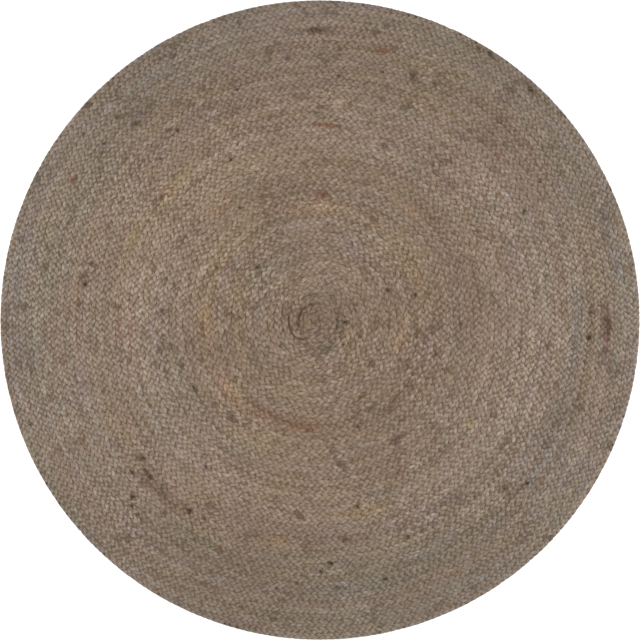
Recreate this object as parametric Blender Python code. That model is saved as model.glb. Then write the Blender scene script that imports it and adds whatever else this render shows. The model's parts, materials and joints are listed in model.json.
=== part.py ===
"""Round jute rug: two three-strand braids laid side by side and coiled flat from the centre.

Metres, +Z up. The origin is under the middle of the rug, on the surface it lies on.
The coil winds outward clockwise as seen from above, and every braid row stands up as a ridge.
"""

import math

import bmesh
import bpy

# Driving dimensions
RUG_RADIUS = 0.600
CENTRE_PITCH = 0.0278    # width of the pair of braids where the coil starts
TURNS = 23.514           # turns of the pair from the centre to the rim
COIL_CENTRE = (-0.0048, -0.0028)   # the coil starts a little off the middle of the rug

# Heights above the surface
LIGHT_CREST = 0.0086     # middle of the first braid
DARK_CREST = 0.0082      # middle of the second braid
PAIR_SEAM = 0.0060       # sewn seam between one turn and the next
INNER_SEAM = 0.0063      # sewn seam between the two braids of a turn
EYE_HEIGHT = 0.0074      # where the braids start
RIM_HEIGHT = 0.0042      # the widest line of the rim
FOOT_INSET = 0.0014      # how far the bottom face stops inside that line

# The rows aren't even: they give way inward in two places, and more so far from the centre
SAGS = (
    # degrees clockwise from +X, half width in degrees, depth, share of the radius where it starts
    {"angle": 80.0, "spread": 34.0, "depth": 0.0052, "start": 0.50},
    {"angle": 262.0, "spread": 27.0, "depth": 0.0080, "start": 0.34},
)
SAG_GROWTH = 0.20        # share of the radius over which a sag deepens
SAG_END = 0.86           # share of the radius from which it fades towards the round rim

RIM_FIT_START = 0.70     # share of the turns from which the rows adapt to the round rim
BRAID_TAPER = 0.050      # each braid narrows to nothing over this share of a turn
RIM_ROUNDING = 0.0046    # width of the shoulder that drops to the rim

# Mesh of the top: each braid row has a seam and a crest, and each turn of the coil has two rows
ROWS_PER_PITCH = 2
STEPS_PER_ROW = 2
SEGMENTS = 56
COIL_START = 3 * 360.0 / SEGMENTS  # degrees clockwise from +X
CENTRE_SNAP = 0.0022     # points nearer to the centre than this are drawn into it
RIM_SNAP = 0.0015        # points nearer to the rim than this are drawn onto it
WELD = 0.00005

ROW_HEIGHTS = (PAIR_SEAM, LIGHT_CREST, INNER_SEAM, DARK_CREST)
ROW_TURN = 1.0 / ROWS_PER_PITCH
STEPS_PER_PITCH = ROWS_PER_PITCH * STEPS_PER_ROW
JUTE = (0.242, 0.184, 0.138, 1.0)
JUTE_ROUGHNESS = 0.92


def smooth(x):
    """Ease from 0 to 1 as x goes from 0 to 1."""
    x = min(max(x, 0.0), 1.0)
    return x * x * (3.0 - 2.0 * x)


def coil_radius(turns):
    """Distance from the coil's centre after so many pitches, which narrow towards the rim."""
    narrowing = (CENTRE_PITCH * TURNS - RUG_RADIUS) / TURNS ** 2
    return turns * (CENTRE_PITCH - narrowing * turns)


def outer_row(turn_share):
    """Inner edge of the outermost row at this angle in pitches, and the share of its width left."""
    rows = (TURNS - turn_share) / ROW_TURN
    last = math.floor(rows + 0.5)
    until_end = (rows + 0.5 - last) * ROW_TURN
    return (last - 1) * ROW_TURN + turn_share, smooth(until_end / BRAID_TAPER)


def fit_to_rim(turns, turn_share):
    """Place of a row, in pitches, once the rows have adapted to the round rim."""
    inner, width = outer_row(turn_share)
    rim = inner + ROW_TURN * width
    if turns > inner:
        turns = min(inner + (turns - inner) * width, rim)
    ramp = smooth((turns / TURNS - RIM_FIT_START) / (1.0 - RIM_FIT_START))
    return min(turns * (1.0 + ramp * (TURNS / rim - 1.0)), TURNS)


def sag(radius, degrees):
    """How far a row gives way towards the centre."""
    share = radius / RUG_RADIUS
    total = 0.0
    for dip in SAGS:
        off = (degrees - dip["angle"] + 180.0) % 360.0 - 180.0
        across = math.exp(-(off / dip["spread"]) ** 2)
        along = smooth((share - dip["start"]) / SAG_GROWTH)
        total += dip["depth"] * across * along
    return total * (1.0 - smooth((share - SAG_END) / (1.0 - SAG_END)))


def top_point(column, turn_share):
    """Point of the top surface: column counts crests and seams outward, turn_share goes round."""
    turns = fit_to_rim(column / STEPS_PER_PITCH + turn_share, turn_share)
    radius = coil_radius(max(turns, 0.0))
    degrees = COIL_START + 360.0 * turn_share
    radius -= sag(radius, degrees)
    height = ROW_HEIGHTS[column % STEPS_PER_PITCH]
    if radius < CENTRE_SNAP:
        radius, height = 0.0, EYE_HEIGHT
    if radius > RUG_RADIUS - RIM_SNAP:
        radius = RUG_RADIUS
    drop = smooth((radius - RUG_RADIUS + RIM_ROUNDING) / RIM_ROUNDING)
    height += (RIM_HEIGHT - height) * drop
    shift = 1.0 - (radius / RUG_RADIUS) ** 2
    angle = -math.radians(degrees)
    return (
        COIL_CENTRE[0] * shift + radius * math.cos(angle),
        COIL_CENTRE[1] * shift + radius * math.sin(angle),
        height,
    )


def coil_sheet(bm):
    """A flat grid wound into the coil: its two ends meet one pitch apart and are welded."""
    first = -STEPS_PER_PITCH
    last = STEPS_PER_ROW * math.floor(TURNS / ROW_TURN + 0.5)
    columns = last - first
    bmesh.ops.create_grid(bm, x_segments=columns, y_segments=SEGMENTS, size=0.5)
    for vert in bm.verts:
        column = first + round((vert.co.x + 0.5) * columns)
        turn_share = round((vert.co.y + 0.5) * SEGMENTS) / SEGMENTS
        vert.co = top_point(column, turn_share)
    bmesh.ops.remove_doubles(bm, verts=bm.verts, dist=WELD)
    bmesh.ops.dissolve_degenerate(bm, dist=WELD, edges=bm.edges)


def close_below(bm):
    """Turn the rim down to the surface and close the flat bottom."""
    rim = [edge for edge in bm.edges if edge.is_boundary]
    skirt = bmesh.ops.extrude_edge_only(bm, edges=rim)["geom"]
    foot = [item for item in skirt if isinstance(item, bmesh.types.BMVert)]
    foot_share = (RUG_RADIUS - FOOT_INSET) / RUG_RADIUS
    for vert in foot:
        vert.co = (vert.co.x * foot_share, vert.co.y * foot_share, 0.0)
    bottom = [edge for edge in bm.edges if edge.is_boundary]
    bmesh.ops.contextual_create(bm, geom=bottom)
    bmesh.ops.triangulate(bm, faces=bm.faces)
    bmesh.ops.recalc_face_normals(bm, faces=bm.faces)


def jute_material():
    """Plain natural jute."""
    material = bpy.data.materials.new("jute")
    material.use_nodes = True
    shader = material.node_tree.nodes["Principled BSDF"]
    shader.inputs["Base Color"].default_value = JUTE
    shader.inputs["Roughness"].default_value = JUTE_ROUGHNESS
    shader.inputs["Metallic"].default_value = 0.0
    return material


def braided_rug(collection):
    """The whole rug, one sewn piece."""
    bm = bmesh.new()
    coil_sheet(bm)
    close_below(bm)
    mesh = bpy.data.meshes.new("braided_rug")
    bm.to_mesh(mesh)
    bm.free()
    mesh.materials.append(jute_material())
    rug = bpy.data.objects.new("braided_rug", mesh)
    collection.objects.link(rug)
    return rug


def main():
    for old in list(bpy.data.objects):
        bpy.data.objects.remove(old, do_unlink=True)
    collection = bpy.data.collections.new("round_jute_rug")
    bpy.context.scene.collection.children.link(collection)
    braided_rug(collection)


main()
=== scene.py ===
"""Round jute rug: the look of the coiled braids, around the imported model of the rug.

Metres, +Z up. Two three-strand braids lie side by side and wind outward clockwise from the eye of
the rug. Geometry Nodes lay each strand along its braid; the colours are procedural.
"""

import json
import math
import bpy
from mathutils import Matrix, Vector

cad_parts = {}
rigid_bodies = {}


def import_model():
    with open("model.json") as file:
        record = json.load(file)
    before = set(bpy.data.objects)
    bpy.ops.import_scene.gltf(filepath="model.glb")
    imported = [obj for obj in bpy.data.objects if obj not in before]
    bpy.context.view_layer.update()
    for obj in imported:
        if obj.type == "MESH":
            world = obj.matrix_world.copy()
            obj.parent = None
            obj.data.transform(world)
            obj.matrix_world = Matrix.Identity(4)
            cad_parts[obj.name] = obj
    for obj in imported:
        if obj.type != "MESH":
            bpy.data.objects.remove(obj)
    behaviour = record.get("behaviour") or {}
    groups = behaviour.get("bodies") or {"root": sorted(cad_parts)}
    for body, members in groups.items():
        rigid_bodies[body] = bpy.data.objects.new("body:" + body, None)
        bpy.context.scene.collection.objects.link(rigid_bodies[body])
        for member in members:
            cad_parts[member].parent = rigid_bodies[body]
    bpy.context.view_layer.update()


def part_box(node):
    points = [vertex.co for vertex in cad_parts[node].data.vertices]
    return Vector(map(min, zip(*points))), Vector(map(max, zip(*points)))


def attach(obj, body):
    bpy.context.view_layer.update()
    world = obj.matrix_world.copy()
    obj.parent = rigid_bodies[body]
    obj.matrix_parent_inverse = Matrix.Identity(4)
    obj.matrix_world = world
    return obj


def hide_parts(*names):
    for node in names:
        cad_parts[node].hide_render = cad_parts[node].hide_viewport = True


bl_info = {
    "name": "Round jute rug",
    "version": (1, 0, 0),
    "blender": (4, 5, 0),
    "location": "3D View > Sidebar > Rug",
    "description": "Builds the braided jute rug, its stage, lights and camera",
    "category": "Add Mesh",
}

import bmesh
import bpy
import numpy as np
from bpy.props import FloatProperty, FloatVectorProperty, IntProperty, PointerProperty

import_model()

RUG_NODE = "braided_rug"
RUG_RADIUS, _, RUG_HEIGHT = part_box(RUG_NODE)[1]
TURN = 2.0 * math.pi
TINY = 1e-6

# How the coil lies, as in the part's source
SAGS = (
    # degrees clockwise from +X, half width in degrees, depth, share of the radius where it starts
    {"angle": 80.0, "spread": 34.0, "depth": 0.0052, "start": 0.50},
    {"angle": 262.0, "spread": 27.0, "depth": 0.0080, "start": 0.34},
)
SAG_GROWTH = 0.20        # share of the radius over which a sag deepens
SAG_END = 0.86           # share of the radius from which it fades
RIM_FIT_START = 0.70     # share of the turns from which the rows adapt to the round rim
BRAID_TAPER = 0.050      # each braid narrows to nothing over this share of a turn
ROW_TURN = 0.5           # pitches from one row to the next
COIL_STEPS = 56          # points of the part in one turn, of which the coil starts at the third
COIL_START = 3 * 360.0 / COIL_STEPS
BRAIDS = ("light", "dark")
STRANDS = 3


# Sizes and colours


def length(name, default, description, smallest=0.0):
    """A length in metres that a user may change."""
    return FloatProperty(
        name=name, description=description, default=default, min=smallest,
        subtype="DISTANCE", unit="LENGTH", precision=5,
    )


def number(name, default, description):
    """A plain number that a user may change."""
    return FloatProperty(name=name, description=description, default=default, precision=3)


def count(name, default, description, smallest=0):
    """A whole number that a user may change."""
    return IntProperty(name=name, description=description, default=default, min=smallest)


def colour(name, default, description):
    """A linear colour that a user may change."""
    return FloatVectorProperty(
        name=name, description=description, default=default,
        subtype="COLOR", size=3, min=0.0, max=1.0,
    )


class RugCoilSizes(bpy.types.PropertyGroup):
    """How the pair of braids is wound."""

    radius: length("Radius", RUG_RADIUS, "From the middle of the rug to its rim")
    centre_pitch: length("Pitch at the eye", 0.0278, "Width of the pair of braids where it starts")
    turns: number("Turns", 23.514, "Turns of the pair from the eye to the rim")
    eye_x: length("Eye, across", -0.0048, "Place of the eye along X", smallest=-1.0)
    eye_y: length("Eye, up", -0.0028, "Place of the eye along Y", smallest=-1.0)


class RugBraidSizes(bpy.types.PropertyGroup):
    """How the strands of a braid lie."""

    height: length("Height", RUG_HEIGHT, "From the floor to the top of the braids")
    strand_share: number("Strand width", 0.55, "Width of a strand as a share of its row")
    inside_share: number("Inside", 0.48, "Share of a strand's width that stays within its row")
    flatness: number("Flatness", 0.68, "Thickness of a strand as a share of its width")
    lobe_share: number("Lobe length", 0.98, "Spacing of the lobes as a share of the row's width")
    unevenness: number("Unevenness", 1.0, "How uneven the strands lie, from 0 to 1")
    steps: count("Steps", 9, "Points in one round of the braid", smallest=6)
    sides: count("Sides", 6, "Sides of a strand", smallest=3)
    seed: count("Seed", 7, "Seed of the uneven lay")


class RugColours(bpy.types.PropertyGroup):
    """Colours of the jute, linear."""

    base: colour("Jute", (0.262, 0.195, 0.141), "Most of the yarn")
    pale: colour("Pale", (0.467, 0.393, 0.333), "Clean bright lengths")
    warm: colour("Warm", (0.336, 0.208, 0.115), "Brown lengths")
    rosy: colour("Rosy", (0.321, 0.197, 0.163), "Pinkish lengths")
    straw: colour("Straw", (0.298, 0.225, 0.111), "Yellowish lengths")
    rust: colour("Rust", (0.185, 0.078, 0.038), "Reddish bark specks")
    bark: colour("Bark", (0.050, 0.025, 0.010), "Dark bark specks and pits")
    shade: colour("Shade", (0.150, 0.098, 0.056), "Yarn inside the rows")


class RugStageValues(bpy.types.PropertyGroup):
    """Floor, lights and camera."""

    floor: colour("Floor", (0.95, 0.95, 0.95), "Plain pale floor")
    glow: number("Floor glow", 0.35, "Light that the white floor gives off, so that it stays white")
    dome: number("Dome light", 0.85, "Strength of the even light from all round")
    lamps: number("Side lamps", 26.0, "Strength of the soft lamp on each side, in watts")
    camera_height: length("Camera height", 3.0, "From the floor to the camera")
    framed: length("Framed width", 1.2036, "Width of the floor that the camera sees")


# Winding of the coil


def smooth(x):
    """Ease from 0 to 1 as x goes from 0 to 1."""
    x = np.clip(x, 0.0, 1.0)
    return x * x * (3.0 - 2.0 * x)


def coil_radius(turns):
    """Distance from the coil's centre after so many pitches, which narrow towards the rim."""
    coil = bpy.context.scene.rug_coil
    narrowing = (coil.centre_pitch * coil.turns - coil.radius) / coil.turns ** 2
    return turns * (coil.centre_pitch - narrowing * turns)


def fit_to_rim(turns, share):
    """Place of a row, in pitches, once the rows have adapted to the round rim."""
    all_turns = bpy.context.scene.rug_coil.turns
    rows = (all_turns - share) / ROW_TURN
    last = np.floor(rows + 0.5)
    width = smooth((rows + 0.5 - last) * ROW_TURN / BRAID_TAPER)
    inner = (last - 1) * ROW_TURN + share
    rim = inner + ROW_TURN * width
    turns = np.where(turns > inner, np.minimum(inner + (turns - inner) * width, rim), turns)
    ramp = smooth((turns / all_turns - RIM_FIT_START) / (1.0 - RIM_FIT_START))
    return np.minimum(turns * (1.0 + ramp * (all_turns / rim - 1.0)), all_turns)


def sag(radius, degrees):
    """How far a row gives way towards the centre."""
    share = radius / bpy.context.scene.rug_coil.radius
    total = np.zeros_like(radius)
    for dip in SAGS:
        off = (degrees - dip["angle"] + 180.0) % 360.0 - 180.0
        across = np.exp(-(off / dip["spread"]) ** 2)
        total += dip["depth"] * across * smooth((share - dip["start"]) / SAG_GROWTH)
    return total * (1.0 - smooth((share - SAG_END) / (1.0 - SAG_END)))


def coil_points(turns, wound):
    """Points at a distance of so many pitches from the centre, wound so many turns round."""
    coil = bpy.context.scene.rug_coil
    share = wound - np.floor(wound)
    degrees = COIL_START + 360.0 * share
    radius = coil_radius(np.maximum(fit_to_rim(turns, share), 0.0))
    radius = radius - sag(radius, degrees)
    shift = 1.0 - (radius / coil.radius) ** 2
    angle = -np.radians(degrees)
    return np.stack([
        coil.eye_x * shift + radius * np.cos(angle),
        coil.eye_y * shift + radius * np.sin(angle),
        np.zeros_like(radius),
    ], axis=-1)


# Meshes and node trees


def new_object(name, data):
    """Link an object, removing an older one of the same name."""
    old = bpy.data.objects.get(name)
    if old is not None:
        bpy.data.objects.remove(old, do_unlink=True)
    piece = bpy.data.objects.new(name, data)
    bpy.context.scene.collection.objects.link(piece)
    return piece


def keep(mesh, name, values):
    """Keep a number, or a direction, on each point of a mesh."""
    kind, part = ("FLOAT", "value") if values.ndim == 1 else ("FLOAT_VECTOR", "vector")
    mesh.attributes.new(name, kind, "POINT").data.foreach_set(part, values.ravel())


class Wire:
    """A value in a node tree, so that formulas can be written as usual."""

    def __init__(self, graph, socket):
        self.graph, self.socket = graph, socket

    def __add__(self, other):
        return self.graph.math("ADD", self, other)

    def __sub__(self, other):
        return self.graph.math("SUBTRACT", self, other)

    def __mul__(self, other):
        return self.graph.math("MULTIPLY", self, other)

    def __truediv__(self, other):
        return self.graph.math("DIVIDE", self, other)


class Graph:
    """Short calls for building a node tree."""

    def __init__(self, tree):
        self.tree = tree

    def add(self, kind, inputs=None, **options):
        """Add a node, set its options, and link or set its inputs by name or number."""
        node = self.tree.nodes.new(kind)
        for key, value in options.items():
            setattr(node, key, value)
        for key, value in (inputs or {}).items():
            self.feed(node.inputs[key], value)
        return node

    def make(self, kind, inputs=None, output=0, **options):
        """Add a node and give one of its outputs."""
        return Wire(self, self.add(kind, inputs, **options).outputs[output])

    def split(self, kind, inputs=None, **options):
        """Add a node and give all of its outputs by name."""
        node = self.add(kind, inputs, **options)
        return {socket.name: Wire(self, socket) for socket in node.outputs}

    def feed(self, socket, value):
        """Link a socket to a value of the tree, or set it."""
        if isinstance(value, Wire):
            self.tree.links.new(value.socket, socket)
        else:
            socket.default_value = value

    def math(self, operation, *values):
        """One scalar operation."""
        return self.make("ShaderNodeMath", dict(enumerate(values)), operation=operation)

    def vector(self, operation, first, second=(0.0, 0.0, 0.0)):
        """One vector operation."""
        inputs = {0: first, 3 if operation == "SCALE" else 1: second}
        return self.make("ShaderNodeVectorMath", inputs, operation=operation)

    def reach(self, vector):
        """How long a vector is."""
        return self.make("ShaderNodeVectorMath", {0: vector}, "Value", operation="LENGTH")

    def combine(self, x=0.0, y=0.0, z=0.0):
        """A vector from three numbers."""
        return self.make("ShaderNodeCombineXYZ", {0: x, 1: y, 2: z})

    def parts(self, vector):
        """The three numbers of a vector."""
        return self.split("ShaderNodeSeparateXYZ", {0: vector}).values()

    def range(self, value, low, high, to_low=0.0, to_high=1.0, smoothly=False):
        """Map one range of numbers to another."""
        inputs = {"Value": value, "From Min": low, "From Max": high,
                  "To Min": to_low, "To Max": to_high}
        kind = "SMOOTHSTEP" if smoothly else "LINEAR"
        return self.make("ShaderNodeMapRange", inputs, interpolation_type=kind)

    def noise(self, vector, scale, detail=2.0, roughness=0.5):
        """Three-dimensional noise between 0 and 1."""
        inputs = {"Vector": vector, "Scale": scale, "Detail": detail, "Roughness": roughness}
        return self.make("ShaderNodeTexNoise", inputs, "Fac")

    def kept(self, name, output="Fac"):
        """In a material, what the points keep under a name."""
        return self.make("ShaderNodeAttribute", output=output, attribute_name=name)

    def named(self, name, kind="FLOAT"):
        """In Geometry Nodes, what the points keep under a name."""
        return self.make("GeometryNodeInputNamedAttribute", {"Name": name}, data_type=kind)

    def mix(self, share, first, second):
        """Blend two colours; a share below 0 leads away from the second."""
        return self.make("ShaderNodeMix", {0: share, 6: first, 7: second}, 2,
                         data_type="RGBA", clamp_factor=False)


def new_tree(name, takes, numbers, counts):
    """A Geometry Nodes tree, its graph and the values of its inputs."""
    tree = bpy.data.node_groups.new(name, "GeometryNodeTree")
    kinds = {takes: "Geometry", **dict.fromkeys(numbers, "Float"), **dict.fromkeys(counts, "Int"),
             "Material": "Material"}
    for item, kind in kinds.items():
        tree.interface.new_socket(item, in_out="INPUT", socket_type=f"NodeSocket{kind}")
    tree.interface.new_socket("Made", in_out="OUTPUT", socket_type="NodeSocketGeometry")
    graph = Graph(tree)
    return tree, graph, graph.split("NodeGroupInput")


def end_tree(graph, made, material):
    """Make what a tree gives real, set its material and put it out."""
    real = graph.make("GeometryNodeRealizeInstances", {"Geometry": made})
    dressed = graph.make("GeometryNodeSetMaterial", {"Geometry": real, "Material": material})
    graph.add("NodeGroupOutput", {0: dressed})


# How unevenly a strand lies: changes along a metre of it, how far either way, about which middle,
# and a place of its own in the noise
WANDERS = {
    "pace": (70.0, 0.66, 0.0, 3.0),
    "width": (62.0, 0.26, 1.0, 31.0),
    "reach": (60.0, 0.34, 1.02, 11.0),
    "drift": (24.0, 0.13, 0.0, 23.0),
    "lift": (75.0, 0.18, 0.82, 43.0),
}
WANDER_NOISE = (0.25, 0.75, -1.0, 1.0)   # this range of the noise, and the change for it
STRANDS_APART = 7.3      # how far apart the strands are in the noise
DIVE = TURN / 8.0        # a strand is lowest this much before it crosses the middle of its row


def strand_tree():
    """Geometry Nodes that turn the middle line of a braid into one of its strands."""
    numbers = ("Strand", "Strand Share", "Inside Share", "Flatness", "Height", "Unevenness", "Seed")
    tree, graph, given = new_tree("Braided strand", "Braid line", numbers, ("Sides",))

    def wander(name):
        """Slow random change along the strand."""
        changes, most, middle, apart = WANDERS[name]
        place = graph.combine(graph.named("travel") * changes, given["Strand"] * STRANDS_APART,
                              given["Seed"] + apart)
        value = graph.range(graph.noise(place, 1.0, detail=1.0), *WANDER_NOISE)
        return value * given["Unevenness"] * most + middle

    # Across its row a strand swings once in a round of the braid, and it is on top twice
    row = graph.named("row_width")
    phase = given["Strand"] * (TURN / STRANDS) + graph.named("phase") + wander("pace")
    width = row * given["Strand Share"] * wander("width")
    reach = (row - width * given["Inside Share"]) * 0.5 * wander("reach")
    side = reach * graph.math("SINE", phase) + wander("drift") * row
    across = graph.vector("SCALE", graph.named("across", "FLOAT_VECTOR"), side)
    crest = graph.math("SINE", phase * 2.0)
    lift = (given["Height"] - width * given["Flatness"]) * 0.5 * wander("lift")
    up = graph.combine(z=lift * crest * graph.named("taper"))
    made = graph.make("GeometryNodeSetPosition",
                      {"Geometry": given["Braid line"], "Offset": graph.vector("ADD", across, up)})

    # Each lobe runs from one dive under the other strands to the next
    kept = {"lobe": (phase + DIVE) / (TURN / 2.0), "crest": crest, "strand": given["Strand"],
            "width": width}
    for name, value in kept.items():
        made = graph.make("GeometryNodeStoreNamedAttribute",
                          {"Geometry": made, "Name": name, "Value": value},
                          data_type="FLOAT", domain="POINT")
    curve = graph.make("GeometryNodeMeshToCurve", {"Mesh": made})
    curve = graph.make("GeometryNodeSetCurveNormal", {"Curve": curve}, mode="Z_UP")
    circle = graph.make("GeometryNodeCurvePrimitiveCircle",
                        {"Resolution": given["Sides"], "Radius": 1.0}, mode="RADIUS")
    place = graph.make("GeometryNodeInputPosition")
    girth = graph.make("GeometryNodeStoreNamedAttribute",
                       {"Geometry": circle, "Name": "girth", "Value": place},
                       data_type="FLOAT_VECTOR", domain="POINT")
    oval = graph.combine(0.5, given["Flatness"] * 0.5, 1.0)
    section = graph.make("GeometryNodeTransform", {"Geometry": girth, "Scale": oval})
    tube = graph.make("GeometryNodeCurveToMesh",
                      {"Curve": curve, "Profile Curve": section, "Scale": graph.named("width"),
                       "Fill Caps": True})
    shaded = graph.make("GeometryNodeSetShadeSmooth", {"Geometry": tube, "Shade Smooth": True})
    end_tree(graph, shaded, given["Material"])
    return tree


FIBRE_STEPS = 4          # straight lengths in one fibre
FIBRE_SIDES = 3
SMALLEST_FIBRE = (0.4, -1.6, 0.2)   # shares of its length, bend and rise
LARGEST_FIBRE = (1.2, 1.6, 1.0)


def fibre_tree():
    """Geometry Nodes that let stray fibres stand up from the tops of a strand."""
    numbers = ("Density", "Length", "Rise", "Bend", "Thickness", "Lowest")
    tree, graph, given = new_tree("Stray fibres", "Strand", numbers, ("Seed",))
    _, _, height = graph.parts(graph.make("GeometryNodeInputPosition"))
    high = graph.make("FunctionNodeCompare", {0: height, 1: given["Lowest"]},
                      operation="GREATER_THAN")
    roots = graph.make("GeometryNodeDistributePointsOnFaces",
                       {"Mesh": given["Strand"], "Selection": high,
                        "Density": given["Density"], "Seed": given["Seed"]})
    # The curve goes only half way to its middle point, which so lies twice as high
    middle = graph.combine(given["Length"] * 0.5, given["Bend"], given["Rise"] * 2.0)
    arc = graph.make("GeometryNodeCurveQuadraticBezier",
                     {"Resolution": FIBRE_STEPS, "Start": graph.combine(), "Middle": middle,
                      "End": graph.combine(given["Length"])})

    def vary(low, high):
        """A random vector for each fibre."""
        return graph.make("FunctionNodeRandomValue", {0: low, 1: high, "Seed": given["Seed"]},
                          data_type="FLOAT_VECTOR")

    placed = graph.make("GeometryNodeInstanceOnPoints",
                        {"Points": roots, "Instance": arc,
                         "Rotation": vary((0.0, 0.0, 0.0), (0.0, 0.0, TURN)),
                         "Scale": vary(SMALLEST_FIBRE, LARGEST_FIBRE)})
    curves = graph.make("GeometryNodeRealizeInstances", {"Geometry": placed})
    circle = graph.make("GeometryNodeCurvePrimitiveCircle",
                        {"Resolution": FIBRE_SIDES, "Radius": given["Thickness"]}, mode="RADIUS")
    tubes = graph.make("GeometryNodeCurveToMesh",
                       {"Curve": curves, "Profile Curve": circle, "Fill Caps": True})
    end_tree(graph, tubes, given["Material"])
    return tree


def apply_nodes(line, tree, values, name):
    """Run a tree on an object and keep its result as a plain mesh under a new name."""
    modifier = line.modifiers.new("Rug nodes", "NODES")
    modifier.node_group = tree
    for item in tree.interface.items_tree:
        if item.in_out == "INPUT" and item.name in values:
            modifier[item.identifier] = values[item.name]
    bpy.context.view_layer.update()
    seen = line.evaluated_get(bpy.context.evaluated_depsgraph_get())
    mesh = bpy.data.meshes.new_from_object(seen)
    line.modifiers.remove(modifier)
    mesh.name = name
    return new_object(name, mesh)


# Places from the photograph

PHOTO_PIXEL = 0.00188    # metres of the rug in a pixel of the photograph
PHOTO_MIDDLE = 320.0     # the rug's middle there, across and down

# Colour over the whole rug: share of the radius, and how far towards the colour
TRENDS = {
    "warm": ((0.0, 0.10), (0.34, 0.13), (0.62, 0.04), (0.9, -0.12), (1.0, -0.26)),
    "pale": (
        (0.0, -0.38), (0.07, -0.31), (0.12, -0.05), (0.20, -0.04), (0.25, -0.10), (0.35, -0.09),
        (0.45, -0.03), (0.57, 0.08), (0.72, 0.04), (0.86, -0.03), (1.0, 0.02),
    ),
}
SIDE_SHEEN_SHARE = 0.05        # painted sheen: the left and right, where the rows run across the side lamps' light, are this much paler, the top and bottom duller
FOOT_SHARE = 0.03        # the bottom is duller still
EYE_CALM = 0.5           # the grain is so much weaker in the worn eye
EYE_DISK = 0.034         # metres, how far that reaches
EDGE_CALM = 0.30         # and so much weaker at the top and bottom, as painted light: there the side lamps' light runs along the rows
RIM_CALM = 0.12          # and all round the rim

# Patches for each colour, placed and then tuned by comparing renders with the photograph:
# pixel of the middle, length along the rows and width across them in pixels, and how far towards
# the colour. Away from warm is grey, away from rosy is greenish, and away from bark is yarn with
# fewer dark bits.
PATCHES = {
    "warm": (
        (207, 318, 30, 14, 0.54), (230, 392, 36, 8, 0.72), (400, 342, 26, 9, 0.54),
        (280, 540, 18, 6, 0.72), (362, 511, 40, 9, 0.34), (330, 96, 90, 16, 0.22),
        (420, 107, 50, 12, 0.30), (318, 208, 70, 18, 0.34), (130, 430, 60, 22, 0.22),
        (76, 378, 50, 9, -0.44), (428, 550, 90, 16, -0.30), (562, 382, 56, 13, -0.32),
        (381, 492, 26, 6, -0.44), (545, 455, 80, 34, -0.18), (250, 180, 16, 12, -0.40),
        (350, 246, 26, 14, -0.28), (483, 212, 26, 14, -0.32), (330, 618, 200, 26, -0.14),
        (210, 46, 260, 40, -0.12), (360, 385, 26, 12, -0.30), (622, 300, 170, 15, -0.26),
        (578, 330, 60, 12, -0.30), (560, 192, 60, 26, -0.20), (412, 215, 44, 13, 0.34),
        (368, 220, 34, 8, 0.38), (375, 22, 50, 9, -0.34), (226, 258, 56, 9, 0.42),
        (222, 208, 28, 9, 0.42), (172, 186, 50, 9, 0.30), (285, 132, 26, 12, 0.26),
        (30, 360, 90, 26, -0.26), (540, 488, 36, 16, -0.34), (130, 335, 60, 9, 0.22),
        (556, 430, 50, 16, -0.22), (75, 300, 40, 10, 0.16), (414, 276, 110, 13, 0.26),
        (606, 398, 44, 9, 0.40), (250, 96, 170, 24, -0.20), (272, 262, 60, 24, -0.16),
    ),
    "rosy": (
        (100, 158, 120, 44, -0.22), (60, 250, 140, 50, -0.16), (190, 530, 70, 14, -0.30),
        (350, 580, 150, 30, -0.20), (420, 88, 80, 24, -0.25), (550, 150, 120, 40, -0.05),
        (355, 385, 26, 12, 0.25), (240, 118, 120, 40, 0.14), (510, 250, 110, 60, 0.18),
        (250, 510, 120, 30, 0.14), (317, 329, 5, 3, 1.20), (165, 490, 56, 18, 0.25),
        (470, 170, 120, 44, 0.15), (270, 268, 40, 26, -0.12), (395, 300, 70, 14, 0.12),
        (590, 430, 50, 14, 0.16), (400, 510, 80, 26, 0.12),
    ),
    "straw": (
        (132, 240, 26, 5, 0.82), (470, 425, 6, 5, 1.60), (370, 510, 44, 10, 0.32),
        (222, 250, 70, 26, 0.20), (408, 262, 80, 26, 0.30), (175, 188, 60, 16, 0.34),
        (455, 76, 50, 16, 0.10), (592, 262, 60, 12, 0.16), (250, 440, 60, 16, 0.25),
    ),
    "rust": (
        (74, 180, 10, 6, 1.12), (382, 51, 14, 6, 0.98), (326, 126, 34, 5, 0.90),
        (322, 195, 15, 6, 1.00), (209, 154, 17, 6, 0.62), (120, 322, 34, 5, 0.46),
        (265, 412, 34, 10, 0.42), (303, 426, 44, 11, 0.60), (455, 280, 24, 6, 0.26),
        (556, 385, 8, 4, 0.48), (607, 332, 39, 7, 0.65), (64, 360, 10, 5, 0.60),
        (85, 442, 18, 6, 0.60), (400, 472, 15, 5, 0.70), (220, 549, 10, 5, 0.68),
        (562, 312, 9, 9, 0.35),
    ),
    "bark": (
        (165, 493, 60, 16, 0.50), (316, 31, 34, 7, 0.95), (191, 511, 12, 7, 0.36),
        (610, 326, 10, 6, 0.38), (250, 180, 14, 9, 0.41), (142, 198, 12, 8, 0.44),
        (590, 335, 34, 6, 0.50), (133, 497, 6, 5, 0.70), (357, 506, 6, 5, 0.40),
        (331, 563, 6, 5, 0.40), (524, 485, 8, 5, 0.40), (397, 439, 24, 7, 0.66),
        (393, 400, 40, 20, -0.28), (604, 331, 44, 15, 0.28), (298, 427, 50, 10, 0.16),
        (146, 468, 34, 14, 0.22), (126, 108, 60, 18, 0.10), (135, 124, 12, 6, 0.58),
        (344, 322, 4, 9, 0.73), (314, 325, 7, 6, 0.44), (528, 86, 34, 9, 0.38),
        (485, 51, 26, 7, 0.36), (404, 522, 12, 5, 0.45), (360, 385, 22, 10, 0.16),
        (592, 520, 110, 7, 0.20), (560, 420, 40, 12, 0.14), (210, 45, 170, 8, 0.10),
        (300, 622, 90, 6, 0.24),
    ),
}

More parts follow.
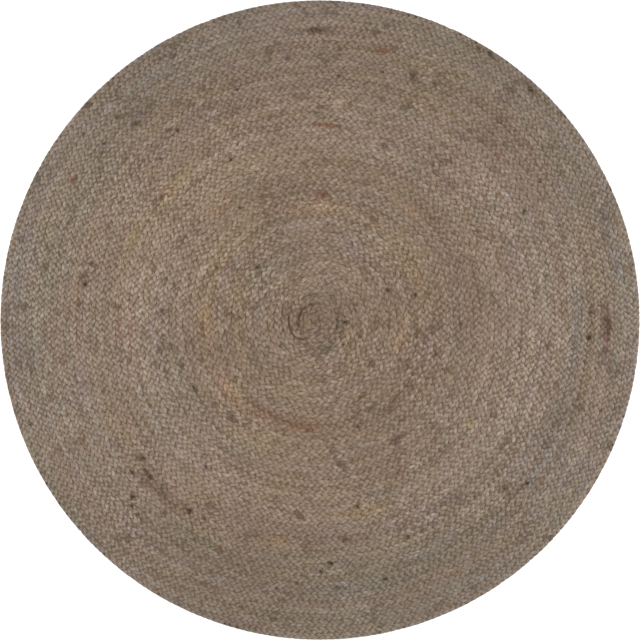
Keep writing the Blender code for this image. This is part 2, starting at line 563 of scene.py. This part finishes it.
# Dark bits and small holes, by the pixel of the middle
PITS = (
    (133, 497), (190, 511), (357, 506), (503, 487), (527, 483), (286, 556), (331, 563), (297, 583),
    (321, 571), (240, 605), (277, 588), (338, 587), (385, 578), (424, 582), (144, 458), (194, 387),
    (104, 391), (150, 405), (205, 455), (217, 404), (339, 127), (383, 73), (339, 76), (412, 77),
    (435, 84), (382, 100), (539, 181), (524, 212), (449, 521), (408, 537), (358, 426), (435, 355),
    (388, 290), (415, 295), (460, 324), (590, 312), (601, 410), (85, 134), (160, 160), (287, 59),
    (237, 90), (231, 160), (162, 197), (70, 222), (240, 208), (218, 267), (92, 264), (85, 285),
    (162, 310), (31, 424), (178, 131), (168, 130), (104, 144), (118, 118), (258, 268), (400, 360),
    (478, 49), (489, 55), (530, 90), (545, 276), (345, 540), (366, 538), (132, 472), (150, 476),
    (127, 513), (138, 514), (132, 506), (204, 518), (206, 467), (164, 512), (582, 298), (588, 338),
    (340, 50), (280, 346), (343, 344),
)
PIT_SIZE = 4.0           # pixels
PIT_SHARE = 1.25         # how far they lead towards bark
PIT_DEPTH = 0.0008       # how far a hole is pressed in
BARK_START = 0.10        # changes towards bark show only from here on

# Open seams near the eye: middle and half of the arc in degrees, clockwise from +X, radius in the
# middle in pixels, how much it grows to the end of the arc, and how deep the seam is pressed and
# how dark its painted shade is
SEAMS = (
    (214, 60, 18.6, -0.6, 0.87), (8, 34, 19.8, 0.9, 0.80), (134, 12, 24.0, 3.2, 0.73),
    (170, 34, 28.2, 0.9, 0.87), (91, 22, 21.0, -0.4, 0.44), (254, 24, 27.5, 0.0, 0.51),
    (182, 24, 36.0, 0.6, 0.44), (180, 20, 43.7, 0.6, 0.40), (336, 12, 39.6, 0.3, 0.51),
)
SEAM_WIDTH = 1.0         # pixels, half of the dark line
SEAM_FADE = 0.65         # share of the half arc from which a seam closes
SEAM_DEPTH = 0.0012
SEAM_CHANGES = 130.0     # changes of its darkness along a metre
SEAM_NOISE = (0.32, 0.52, 0.45, 1.0)   # this range of the noise, and the darkness for it

RIM_FILL = 0.0022        # the lobes at the rim are drawn out so far, up to the smooth edge
RIM_SOFT = 0.0012        # within this of the edge they are pressed flat against it
RIM_FILL_FROM = 0.006    # over this width

HUES = ("warm", "rosy", "straw", "rust")
CHANNELS = ("pale", "bark", *HUES)


def on_rug(x, y):
    """Metres on the rug for a pixel of the photograph."""
    return np.array(((x - PHOTO_MIDDLE) * PHOTO_PIXEL, (PHOTO_MIDDLE - y) * PHOTO_PIXEL))


def around_eye(place):
    """How far a place, or each of many, lies from the eye, and its angle clockwise from +X."""
    coil = bpy.context.scene.rug_coil
    x, y = place[..., 0] - coil.eye_x, place[..., 1] - coil.eye_y
    return np.hypot(x, y), np.arctan2(-y, x)


def turn_from(start, angle):
    """The turn from one angle to others, at most half way round."""
    return (angle - start + math.pi) % TURN - math.pi


def patch_share(round_eye, x, y, long, wide):
    """How much of a patch is felt at each point, its length following the rows."""
    away, angle = round_eye
    reach, start = around_eye(on_rug(x, y))
    along = turn_from(start, angle) * reach / (0.5 * long * PHOTO_PIXEL)
    across = (away - reach) / (0.5 * wide * PHOTO_PIXEL)
    return np.exp(-(along ** 2 + across ** 2))


def seam_dip(round_eye):
    """How deep in an open seam near the eye each point is, from 0 to 1."""
    away, angle = round_eye
    dip = np.zeros_like(away)
    for degrees, half, radius, growth, share in SEAMS:
        turned = turn_from(math.radians(degrees), angle) / math.radians(half)
        middle = (growth * turned + radius) * PHOTO_PIXEL
        across = np.exp(-((away - middle) / (SEAM_WIDTH * PHOTO_PIXEL)) ** 2)
        closed = smooth((np.abs(turned) - SEAM_FADE) / (1.0 - SEAM_FADE))
        dip = np.maximum(dip, share * across * (1.0 - closed))
    return dip


def colour_leads(points, round_eye, hole):
    """How far the colour of each point leads towards each of the colours of the patches."""
    radius = bpy.context.scene.rug_coil.radius
    x, y = points[:, 0] / radius, points[:, 1] / radius
    leads = {name: np.zeros(len(points)) for name in CHANNELS}
    for name, trend in TRENDS.items():
        leads[name] += np.interp(np.hypot(x, y), *zip(*trend))
    # Painted sheen: paler at the left and right, duller at the top and bottom; then darker towards
    # the bottom
    leads["pale"] += SIDE_SHEEN_SHARE * (x ** 2 - y ** 2) + FOOT_SHARE * np.minimum(y, 0.0)
    for name, patches in PATCHES.items():
        for *place, share in patches:
            leads[name] += share * patch_share(round_eye, *place)
    leads["bark"] += PIT_SHARE * hole - BARK_START
    return leads


def grain_contrast(points, round_eye):
    """How strong the grain is at each point, less than 1 where it is calmer."""
    radius = bpy.context.scene.rug_coil.radius
    away = np.hypot(points[:, 0], points[:, 1])
    calm = EYE_CALM * np.exp(-(round_eye[0] / EYE_DISK) ** 4)
    # Painted light: the grain is weaker at the top and bottom, where the side lamps' light runs
    # along the rows
    calm += EDGE_CALM * (points[:, 1] / radius) ** 2 + RIM_CALM * (away / radius) ** 4
    return 1.0 - calm


def pressed(points, round_eye, hole):
    """The points with the holes and seams pressed in and the rim drawn out to the smooth edge."""
    radius = bpy.context.scene.rug_coil.radius
    moved = points.copy()
    moved[:, 2] -= PIT_DEPTH * hole + SEAM_DEPTH * seam_dip(round_eye)
    moved[:, 2] = np.maximum(moved[:, 2], 0.0)
    away = np.hypot(points[:, 0], points[:, 1])
    filled = away + RIM_FILL * smooth((away - radius) / RIM_FILL_FROM + 1.0)
    over = np.maximum(filled - radius + RIM_SOFT, 0.0)
    filled -= over - RIM_SOFT * (1.0 - np.exp(-over / RIM_SOFT))
    moved[:, :2] *= (filled / np.maximum(away, TINY))[:, None]
    return moved


def wear(mesh):
    """Press the holes, seams and rim into a mesh, and keep on its points how they are coloured."""
    points = np.empty(3 * len(mesh.vertices))
    mesh.vertices.foreach_get("co", points)
    points = points.reshape(-1, 3)
    round_eye = around_eye(points)
    hole = np.zeros(len(points))
    for pit in PITS:
        hole = np.maximum(hole, patch_share(round_eye, *pit, PIT_SIZE, PIT_SIZE))
    mesh.vertices.foreach_set("co", pressed(points, round_eye, hole).ravel())
    for name, lead in colour_leads(points, round_eye, hole).items():
        keep(mesh, f"towards_{name}", lead)
    keep(mesh, "contrast", grain_contrast(points, round_eye))
    mesh.update()


# Materials

# How the jute varies: what a change follows, changes per metre, noise detail, the colour it swings
# towards and how far. "rings" and "rows" are broad and narrow bands that run round the rug.
SWINGS = (
    ("rug", 3.5, 3.0, "pale", 0.05), ("rings", 2.0, 4.0, "pale", 0.06),
    ("rows", 2.0, 4.0, "pale", 0.07), ("rows", 5.5, 2.0, "pale", 0.05),
    ("rug", 3.0, 2.0, "warm", 0.04), ("rows", 2.0, 3.0, "warm", 0.08),
    ("rows", 5.0, 4.0, "rosy", 0.08), ("rows", 5.0, 4.0, "straw", 0.09),
    ("rug", 60.0, 2.0, "rosy", 0.03), ("rug", 55.0, 2.0, "straw", 0.03),
    ("braid", 9.0, 4.0, "pale", 0.03), ("rug", 60.0, 3.0, "bark", 0.11),
    ("braid", 24.0, 3.0, "bark", 0.12), ("braid", 2.0, 3.0, "warm", 0.05),
    ("braid", 12.0, 3.0, "rosy", 0.09), ("braid", 14.0, 3.0, "straw", 0.09),
    ("strand", 34.0, 3.0, "pale", 0.03), ("strand", 30.0, 2.0, "rosy", 0.04),
    ("strand", 32.0, 2.0, "straw", 0.04),
)
SWING = 8.2              # brings the noise, which stays near its middle, to about one either way
SWINGS_APART = 10.0      # how far apart the changes are in the noise
RING_WIDTH = 0.30        # metres; how far round the rug a ring's change reaches
BANDS = {"rings": 3.0, "rows": 7.0}   # how much faster they change outward than round the rug
MOST_AWAY = 0.30         # no colour leads further away than this
SPECKLED = ("rust", "bark")
SPECKLES = 170.0         # patches of these two are broken up so many times along a metre
SPECKLE_NOISE = (0.35, 0.65, 0.5, 1.5)   # this range of the noise, and their share for it


def new_material(name, roughness):
    """A material with a Principled shader, and its graph, in place of an older one."""
    old = bpy.data.materials.get(name)
    if old is not None:
        bpy.data.materials.remove(old)
    material = bpy.data.materials.new(name)
    material.use_nodes = True
    shader = material.node_tree.nodes["Principled BSDF"]
    shader.inputs["Roughness"].default_value = roughness
    shader.inputs["Specular IOR Level"].default_value = 0.25
    return material, shader, Graph(material.node_tree)


def opaque(colour):
    """A colour as the sockets take it."""
    return (*colour, 1.0)


def lighter(graph, tone, share):
    """Make a colour lighter, or darker for a share below 0; 1 takes the jute to its pale colour."""
    colours = bpy.context.scene.rug_colours
    parts = [graph.math("POWER", pale / base, share)
             for pale, base in zip(colours.pale, colours.base)]
    return graph.vector("MULTIPLY", tone, graph.combine(*parts))


def swing(noise, amount):
    """Noise as a change of about so much either way."""
    return (noise - 0.5) * (SWING * amount)


def rug_paths(graph):
    """Places on the rug that colour can follow, for any of its pieces."""
    place = graph.make("ShaderNodeTexCoord", output="Object")
    away = graph.reach(place)
    direction = graph.vector("SCALE", graph.vector("NORMALIZE", place), RING_WIDTH)
    paths = {"rug": place}
    for name, closeness in BANDS.items():
        paths[name] = graph.vector("ADD", direction, graph.combine(z=away * closeness))
    return paths


def jute_shares(graph, paths):
    """How far the jute leads to each colour: what its points keep, and the swings that fit."""
    shares = {name: graph.kept(f"towards_{name}") for name in CHANNELS}
    speckle = graph.range(graph.noise(paths["rug"], SPECKLES, detail=3.0), *SPECKLE_NOISE)
    for name in SPECKLED:
        shares[name] *= speckle
    for index, (follows, changes, detail, towards, amount) in enumerate(SWINGS):
        if follows in paths:
            moved = graph.vector("ADD", paths[follows], (0.0, 0.0, SWINGS_APART * index))
            shares[towards] += swing(graph.noise(moved, changes, detail), amount)
    return shares


def jute_tone(graph, shares):
    """Colour of the jute: first its hue, then how light it is, then bark."""
    colours = bpy.context.scene.rug_colours
    tone = opaque(colours.base)
    for name in HUES:
        share = graph.range(shares[name], -MOST_AWAY, 1.0, -MOST_AWAY, 1.0)
        tone = graph.mix(share, tone, opaque(getattr(colours, name)))
    tone = lighter(graph, tone, shares["pale"])
    return graph.mix(graph.range(shares["bark"], 0.0, 1.0), tone, opaque(colours.bark))


def seam_share(graph, place):
    """How deep in one of the open seams near the eye a place is, from 0 to 1, for its painted shade
    and bump.
    """
    coil = bpy.context.scene.rug_coil
    place = graph.vector("SUBTRACT", place, (coil.eye_x, coil.eye_y, 0.0))
    away = graph.reach(graph.vector("MULTIPLY", place, (1.0, 1.0, 0.0)))
    x, y, _ = graph.parts(place)
    angle = graph.math("ARCTAN2", y * -1.0, x)
    deepest = 0.0
    for degrees, half, radius, growth, share in SEAMS:
        turned = graph.math("WRAP", angle - math.radians(degrees), -math.pi, math.pi)
        turned = turned / math.radians(half)
        middle = turned * (growth * PHOTO_PIXEL) + radius * PHOTO_PIXEL
        off = graph.math("ABSOLUTE", away - middle)
        across = graph.range(off, 0.0, 2.0 * SEAM_WIDTH * PHOTO_PIXEL, share, 0.0, smoothly=True)
        turned = graph.math("ABSOLUTE", turned)
        along = graph.range(turned, SEAM_FADE, 1.0, 1.0, 0.0, smoothly=True)
        deepest = graph.math("MAXIMUM", deepest, across * along)
    return deepest * graph.range(graph.noise(place, SEAM_CHANGES), *SEAM_NOISE)


SECOND_BRAID = 7.0       # number of the second braid's first strand; that of the first braid is 0
BRAIDS_APART = 0.7       # how far apart the two braids are in their noise
YARNS_APART = 0.9        # and the strands in theirs
LOBE_SHARE = 0.48        # how much single lobes differ
CREST_LIGHT_SHARE = 0.23       # how much paler the tops of the lobes are, as painted highlight and rubbed wear, and darker their ends, as painted shade where they dive
CREST_FOOT = 0.2         # height of a lobe's ends, from -1 below to 1 on top
GRAIN_CHANGES = 7.0      # how often along a metre the grain gets stronger and weaker
GRAIN_NOISE = (0.3, 0.7, 0.55, 1.30)   # this range of the noise, and the grain's share for it
BRAID_SHARE = 0.06       # how much paler the first braid is than the jute, and darker the second

PLIES = 4                # yarns twisted together in a strand
PLY_TURN = 0.024         # metres for one turn of the twist
PLY_SHADE_SHARE = 0.31         # painted shade: how much darker the grooves between them are than the yarns' tops
PLY_MIDDLE = 0.64        # mean height of a yarn between its grooves
PLY_RELIEF = 0.7         # height of the yarns beside that of the tufts and fibres
TUFTS = {"changes": 220.0, "round_it": 1.8}   # changes along a metre of strand, and around it
TUFT_SHARE = 0.26        # how much the tufts differ
HAIRS = {"changes": 26.0, "round_it": 9.0}    # the same for single fibres, which follow the twist
HAIR_SHARE = 0.16
STREAKS_APART = 9.1      # how far apart the strands are in the noise of both
SEAM_RELIEF = -3.0

GAPS = 7.0               # how often the painted shade of the sewn gaps between rows comes and goes
GAP_NOISE = (0.53, 0.68)   # the noise from which that shade starts, and at which it is widest
GAP_FROM = 0.80          # the shade starts at this share of the way out to the edge of the row
GAP_SHADE_SHARE = 0.55         # painted shade: how much darker the strands are beside the gap

CLUSTERS = 16.0          # groups of dark lobes along a metre
CLUSTER_NOISE = (0.5, 0.72)   # the noise from which lobes get dark, and at which most are
BARK_LOBES = 0.42        # share of the lobes that are dark in such a group
BARK_SHARE = 0.45
RUST_LOBES = 0.0020      # share of all lobes that are reddish
RUST_SHARE = 0.55


def twisted_yarns(graph, travel, which):
    """The fine grain of a strand's yarns, about 0, with painted shade in their grooves, and their
    surface's height.
    """
    girth = graph.kept("girth", "Vector")
    x, y, _ = graph.parts(girth)
    twist = travel * (TURN / PLY_TURN)
    turned = twist + graph.math("ARCTAN2", y, x)
    ply = graph.math("ABSOLUTE", graph.math("SINE", turned * (0.5 * PLIES)))
    twisted = graph.make("ShaderNodeVectorRotate", {"Vector": girth, "Angle": twist},
                         rotation_type="Z_AXIS")

    def streaks(section, changes, round_it):
        """Noise on the strand, so many changes around it and along a metre of it."""
        along = graph.combine(z=travel * changes + which * STREAKS_APART)
        place = graph.vector("ADD", graph.vector("SCALE", section, round_it), along)
        return graph.noise(place, 1.0, detail=3.0, roughness=0.65)

    tufts, hairs = streaks(girth, **TUFTS), streaks(twisted, **HAIRS)
    # The grooves between the yarns carry painted shade
    fine = swing(tufts, TUFT_SHARE) + swing(hairs, HAIR_SHARE) + (ply - PLY_MIDDLE) * PLY_SHADE_SHARE
    return fine, tufts + hairs + ply * PLY_RELIEF


def row_gap_shade(graph, lobe, rows):
    """Painted shade: how much a strand is darkened beside the sewn gap between its row and the
    next.
    """
    side = graph.math("ABSOLUTE", graph.math("SINE", lobe * (TURN / 2.0) - DIVE))
    edge = graph.range(side, GAP_FROM, 1.0, smoothly=True)
    return edge * graph.range(graph.noise(rows, GAPS, detail=3.0), *GAP_NOISE) * -GAP_SHADE_SHARE


def yarn_material():
    """Twisted jute yarn, its colours running along the strands."""
    material, shader, graph = new_material("jute_yarn", 0.85)
    shader.inputs["Sheen Weight"].default_value = 0.15
    shader.inputs["Sheen Roughness"].default_value = 0.5
    travel, braid, lobe = (graph.kept(name) for name in ("travel", "braid", "lobe"))
    which = braid * SECOND_BRAID + graph.kept("strand")
    paths = rug_paths(graph)
    paths["braid"] = graph.combine(travel, braid * BRAIDS_APART)
    paths["strand"] = graph.combine(travel, which * YARNS_APART)
    shares = jute_shares(graph, paths)

    # The grain: single lobes differ, their tops carry a painted highlight with rubbed wear and
    # their ends painted shade, and the yarns show on them with painted shade in their grooves
    chance = graph.split("ShaderNodeTexWhiteNoise",
                         {"Vector": graph.combine(graph.math("FLOOR", lobe), which)},
                         noise_dimensions="3D")
    single = (chance["Value"] - 0.5) * LOBE_SHARE
    # Painted highlight on the tops of the lobes, with rubbed wear, and painted shade at their ends
    crest = graph.range(graph.kept("crest"), CREST_FOOT, 1.0, -CREST_LIGHT_SHARE, CREST_LIGHT_SHARE,
                        smoothly=True)
    fine, relief = twisted_yarns(graph, travel, which)
    uneven = graph.range(graph.noise(paths["rug"], GRAIN_CHANGES), *GRAIN_NOISE)
    shares["pale"] += (single + crest + fine) * (graph.kept("contrast") * uneven)
    shares["pale"] += graph.range(braid, 0.0, 1.0, BRAID_SHARE, -BRAID_SHARE)
    # Painted shade beside the sewn gaps between the rows
    shares["pale"] += row_gap_shade(graph, lobe, paths["rows"])

    # Some lobes are dark, in groups, and a few are reddish
    other = graph.make("ShaderNodeSeparateColor", {0: chance["Color"]}, "Green")
    cluster = graph.noise(paths["rug"], CLUSTERS)
    often = graph.range(cluster, *CLUSTER_NOISE, 0.0, BARK_LOBES, smoothly=True)
    seam = seam_share(graph, paths["rug"])
    shares["bark"] += graph.math("LESS_THAN", other, often) * BARK_SHARE
    # Painted shade: the open seams near the eye are coloured towards the dark bark colour
    shares["bark"] = graph.math("MAXIMUM", shares["bark"], seam)
    shares["rust"] += graph.math("GREATER_THAN", other, 1.0 - RUST_LOBES) * RUST_SHARE

    bump = {"Height": relief + seam * SEAM_RELIEF, "Strength": 0.7, "Distance": 0.0008}
    graph.feed(shader.inputs["Base Color"], jute_tone(graph, shares))
    graph.feed(shader.inputs["Normal"], graph.make("ShaderNodeBump", bump))
    return material


INSIDE_SHARE = 0.85      # how far the yarn inside the rows is shaded
INSIDE_GRAIN = 260.0     # changes of its grain along a metre


def core_material():
    """Shaded yarn inside the rows."""
    material, shader, graph = new_material("jute_inside", 0.95)
    paths = rug_paths(graph)
    shares = jute_shares(graph, paths)
    grain = graph.noise(paths["rug"], INSIDE_GRAIN, detail=3.0, roughness=0.6)
    shares["pale"] += swing(grain, TUFT_SHARE)
    # Painted shade in the open seams near the eye, towards the dark bark colour
    shares["bark"] = graph.math("MAXIMUM", shares["bark"], seam_share(graph, paths["rug"]))
    shade = opaque(bpy.context.scene.rug_colours.shade)
    tone = graph.mix(INSIDE_SHARE, jute_tone(graph, shares), shade)
    bump = {"Height": grain, "Strength": 0.8, "Distance": 0.002}
    graph.feed(shader.inputs["Base Color"], tone)
    graph.feed(shader.inputs["Normal"], graph.make("ShaderNodeBump", bump))
    return material


# Pieces

CORE_SHARES = (0.0, 0.08, 0.25, 0.42)   # across a row, in pitches: seam, flank, crest, flank
CORE_TOP = (0.0048, 0.0052, 0.0054, 0.0052)
CORE_BOTTOM = (0.0018, 0.0012, 0.0010, 0.0012)
CORE_STEPS = 84          # points in one turn
CORE_EYE = 0.0025        # points nearer to the eye than this are drawn into it
CORE_SNAP = 0.0015       # points nearer to the rim than this are drawn onto it
CORE_ROUNDING = 0.004    # width of its shoulder at the rim
CORE_RIM = 0.0022        # the inside of the rows stops this far within the rim
CORE_WELD = 0.0002
SPARE_ROWS = 2           # rows that start within the eye
LAST_SHARE = 0.99999     # the end of a turn, just short of the next


def core_side(bm, heights):
    """One side of the coil's inside, a grid wound as the braids are."""
    coil = bpy.context.scene.rug_coil
    rows = int(math.floor(coil.turns / ROW_TURN + 0.5)) + SPARE_ROWS
    columns = rows * len(CORE_SHARES)
    made = bmesh.ops.create_grid(bm, x_segments=columns, y_segments=CORE_STEPS, size=0.5)["verts"]
    place = np.array([vert.co[:2] for vert in made])
    column = np.rint((place[:, 0] + 0.5) * columns).astype(int)
    share = np.rint((place[:, 1] + 0.5) * CORE_STEPS) / CORE_STEPS
    row, part = column // len(CORE_SHARES) - SPARE_ROWS, column % len(CORE_SHARES)
    turns = row * ROW_TURN + np.array(CORE_SHARES)[part] + share
    points = coil_points(turns, np.where(share < 1.0, share, LAST_SHARE))
    away = np.hypot(points[:, 0], points[:, 1])
    reach = np.where(away > coil.radius - CORE_SNAP, coil.radius, away)
    inset = 1.0 - CORE_RIM / coil.radius
    points[:, :2] *= (inset * reach / np.maximum(away, TINY))[:, None]
    drop = smooth((reach - coil.radius) / CORE_ROUNDING + 1.0)
    middle = 0.5 * (CORE_TOP[0] + CORE_BOTTOM[0])
    height = np.array(heights)[part]
    points[:, 2] = height + (middle - height) * drop
    points[around_eye(points)[0] < CORE_EYE] = (coil.eye_x, coil.eye_y, heights[0])
    for vert, point in zip(made, points):
        vert.co = point


def build_core():
    """The inside of the rows, which closes the gaps between the strands."""
    bm = bmesh.new()
    core_side(bm, CORE_TOP)
    core_side(bm, CORE_BOTTOM)
    bmesh.ops.remove_doubles(bm, verts=bm.verts, dist=CORE_WELD)
    bmesh.ops.recalc_face_normals(bm, faces=bm.faces)
    mesh = bpy.data.meshes.new("coil_inside")
    bm.to_mesh(mesh)
    bm.free()
    mesh.materials.append(core_material())
    mesh.shade_smooth()
    return new_object("coil_inside", mesh)


LINE_SAMPLES = 60000
EYE_PITCHES = 0.20       # the braids start this many pitches from the coil's centre
LAST_PITCHES = 0.004     # and end this many before its end
EYE_LENGTH = 0.30        # metres of each braid that have closer points
EYE_FINENESS = 2.5
TAPER_START = 1.6        # a braid thins out once it is narrower than 1 / 1.6 of a full row


def braid_line(braid):
    """Middle line of a braid, with what the strands need to know at each of its points."""
    coil, braids = bpy.context.scene.rug_coil, bpy.context.scene.rug_braid
    half_row = 0.5 * ROW_TURN
    offset = ROW_TURN * (braid + 0.5)
    wound = np.linspace(EYE_PITCHES - offset, coil.turns - offset - LAST_PITCHES, LINE_SAMPLES)
    turns = wound + offset
    inner, outer = coil_points(turns - half_row, wound), coil_points(turns + half_row, wound)
    middle, across = 0.5 * (inner + outer), outer - inner
    width = np.linalg.norm(across, axis=1)
    across = across / np.maximum(width, TINY)[:, None]
    step = np.linalg.norm(np.diff(middle, axis=0), axis=1)
    travel = np.concatenate([[0.0], np.cumsum(step)])
    full = coil_radius(turns + half_row) - coil_radius(np.maximum(turns - half_row, 0.0))
    pace = TURN / (STRANDS * braids.lobe_share * full)
    phase = np.concatenate([[0.0], np.cumsum(0.5 * (pace[1:] + pace[:-1]) * step)])
    step = TURN / braids.steps
    eye_end = np.interp(EYE_LENGTH, travel, phase)
    at = np.concatenate([np.arange(0.0, eye_end, step / EYE_FINENESS),
                         np.arange(eye_end, phase[-1], step)])

    def resample(values):
        """A number or a direction at each of the line's points."""
        if values.ndim == 1:
            return np.interp(at, phase, values)
        return np.stack([np.interp(at, phase, part) for part in values.T], axis=-1)

    points = resample(middle)
    points[:, 2] = 0.5 * braids.height
    taper = np.clip(resample(width) / resample(full), 0.0, 1.0)
    mesh = bpy.data.meshes.new("braid_line")
    mesh.vertices.add(len(at))
    mesh.edges.add(len(at) - 1)
    mesh.vertices.foreach_set("co", points.ravel())
    ends = np.stack([np.arange(len(at) - 1), np.arange(1, len(at))], axis=-1)
    mesh.edges.foreach_set("vertices", ends.ravel())
    kept = {"row_width": resample(width), "travel": resample(travel), "phase": at,
            "taper": smooth(taper * TAPER_START), "braid": np.full(len(at), float(braid)),
            "across": resample(across)}
    for name, values in kept.items():
        keep(mesh, name, values)
    mesh.update()
    return new_object("braid_line", mesh)


BRAID_SEEDS = 13         # how far apart the seeds of the two braids are


def strand_name(braid, strand):
    """Name of one of the strands of a braid, which are counted from 0."""
    return f"{braid}_braid_strand_{strand + 1}"


def build_braid(braid, index, material):
    """The three strands of one braid."""
    braids = bpy.context.scene.rug_braid
    tree = bpy.data.node_groups.get("Braided strand") or strand_tree()
    line = braid_line(index)
    for strand in range(STRANDS):
        values = {
            "Strand": float(strand), "Strand Share": braids.strand_share,
            "Inside Share": braids.inside_share, "Flatness": braids.flatness,
            "Height": braids.height, "Unevenness": braids.unevenness,
            "Seed": float(braids.seed + BRAID_SEEDS * index), "Sides": braids.sides,
            "Material": material,
        }
        apply_nodes(line, tree, values, strand_name(braid, strand))
    bpy.data.objects.remove(line, do_unlink=True)


FIBRES = {"Density": 9500.0, "Length": 0.018, "Rise": 0.0020, "Bend": 0.005, "Thickness": 0.00015}
FIBRES_FROM = 0.80       # share of the height from which fibres stand up
FIRST_FIBRE_SEED = 3


def build_fibres(braid, index):
    """Stray fibres on the tops of the first strand of a braid."""
    tree = bpy.data.node_groups.get("Stray fibres") or fibre_tree()
    strand = bpy.data.objects[strand_name(braid, 0)]
    values = {"Lowest": FIBRES_FROM * bpy.context.scene.rug_braid.height,
              "Seed": FIRST_FIBRE_SEED + index, "Material": strand.data.materials[0], **FIBRES}
    apply_nodes(strand, tree, values, f"{braid}_fibres")


# Operators


class RugBuildInside(bpy.types.Operator):
    """Build the inside of the rows"""

    bl_idname = "rug.build_inside"
    bl_label = "Inside of the rows"

    def execute(self, context):
        build_core()
        return {"FINISHED"}


class RugBuildBraids(bpy.types.Operator):
    """Build the three strands of each braid"""

    bl_idname = "rug.build_braids"
    bl_label = "Braids"

    def execute(self, context):
        material = yarn_material()
        for index, braid in enumerate(BRAIDS):
            build_braid(braid, index, material)
        return {"FINISHED"}


class RugBuildFibres(bpy.types.Operator):
    """Build the stray fibres on both braids"""

    bl_idname = "rug.build_fibres"
    bl_label = "Stray fibres"

    def execute(self, context):
        for index, braid in enumerate(BRAIDS):
            build_fibres(braid, index)
        return {"FINISHED"}


class RugFinish(bpy.types.Operator):
    """Wear and colour all the pieces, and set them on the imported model"""

    bl_idname = "rug.finish"
    bl_label = "Wear and colour"

    def execute(self, context):
        core = bpy.data.objects["coil_inside"]
        names = [strand_name(braid, strand) for braid in BRAIDS for strand in range(STRANDS)]
        names += [f"{braid}_fibres" for braid in BRAIDS]
        strands = [bpy.data.objects[name] for name in names]
        for piece in [core, *strands]:
            wear(piece.data)
            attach(piece, "root")
        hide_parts(RUG_NODE)
        return {"FINISHED"}


FLOOR_HALF = 20.0
LAMPS = {"left": (-2.3, 0.2, 1.2), "right": (2.3, 0.2, 1.2)}
LAMP_SIZE = 1.2
SENSOR_WIDTH = 36.0      # millimetres
WHITE = (1.0, 1.0, 1.0, 1.0)


class RugBuildStage(bpy.types.Operator):
    """Build the floor, the lights and the camera"""

    bl_idname = "rug.build_stage"
    bl_label = "Stage"

    def execute(self, context):
        stage = context.scene.rug_stage
        mesh = bpy.data.meshes.new("floor")
        bm = bmesh.new()
        bmesh.ops.create_grid(bm, x_segments=2, y_segments=2, size=FLOOR_HALF)
        bm.to_mesh(mesh)
        bm.free()
        material, shader, _ = new_material("pale_floor", 0.9)
        shader.inputs["Base Color"].default_value = opaque(stage.floor)
        shader.inputs["Emission Color"].default_value = WHITE
        shader.inputs["Emission Strength"].default_value = stage.glow
        mesh.materials.append(material)
        new_object("floor", mesh)

        world = bpy.data.worlds.new("studio")
        world.use_nodes = True
        background = world.node_tree.nodes["Background"]
        background.inputs["Color"].default_value = WHITE
        background.inputs["Strength"].default_value = stage.dome
        context.scene.world = world

        for name, place in LAMPS.items():
            lamp = bpy.data.lights.new(name, "AREA")
            lamp.shape = "SQUARE"
            lamp.size = LAMP_SIZE
            lamp.energy = stage.lamps
            light = new_object(name, lamp)
            light.location = place
            light.rotation_euler = (-light.location).to_track_quat("-Z", "Y").to_euler()

        camera = bpy.data.cameras.new("camera")
        camera.sensor_width = SENSOR_WIDTH
        camera.lens = SENSOR_WIDTH * stage.camera_height / stage.framed
        eye = new_object("camera", camera)
        eye.location = (0.0, 0.0, stage.camera_height)
        context.scene.camera = eye
        context.scene.view_settings.view_transform = "Standard"
        return {"FINISHED"}


class RugPanel(bpy.types.Panel):
    """Lists the rug's sizes, colours and steps"""

    bl_idname = "VIEW3D_PT_round_jute_rug"
    bl_label = "Round jute rug"
    bl_space_type = "VIEW_3D"
    bl_region_type = "UI"
    bl_category = "Rug"

    def draw(self, context):
        for group_name in GROUPS:
            group = getattr(context.scene, group_name)
            box = self.layout.box()
            for name in group.bl_rna.properties.keys():
                if name not in ("rna_type", "name"):
                    box.prop(group, name)
        for step in STEPS:
            self.layout.operator(step.bl_idname)


STEPS = (RugBuildStage, RugBuildInside, RugBuildBraids, RugBuildFibres, RugFinish)
GROUPS = {
    "rug_coil": RugCoilSizes, "rug_braid": RugBraidSizes,
    "rug_colours": RugColours, "rug_stage": RugStageValues,
}


def register():
    for kind in (*GROUPS.values(), *STEPS, RugPanel):
        bpy.utils.register_class(kind)
    for name, kind in GROUPS.items():
        setattr(bpy.types.Scene, name, PointerProperty(type=kind))


def unregister():
    for name in GROUPS:
        delattr(bpy.types.Scene, name)
    for kind in reversed((*GROUPS.values(), *STEPS, RugPanel)):
        bpy.utils.unregister_class(kind)


def main():
    register()
    bpy.ops.rug.build_stage()
    bpy.ops.rug.build_inside()
    bpy.ops.rug.build_braids()
    bpy.ops.rug.build_fibres()
    bpy.ops.rug.finish()


if __name__ == "__main__":
    main()
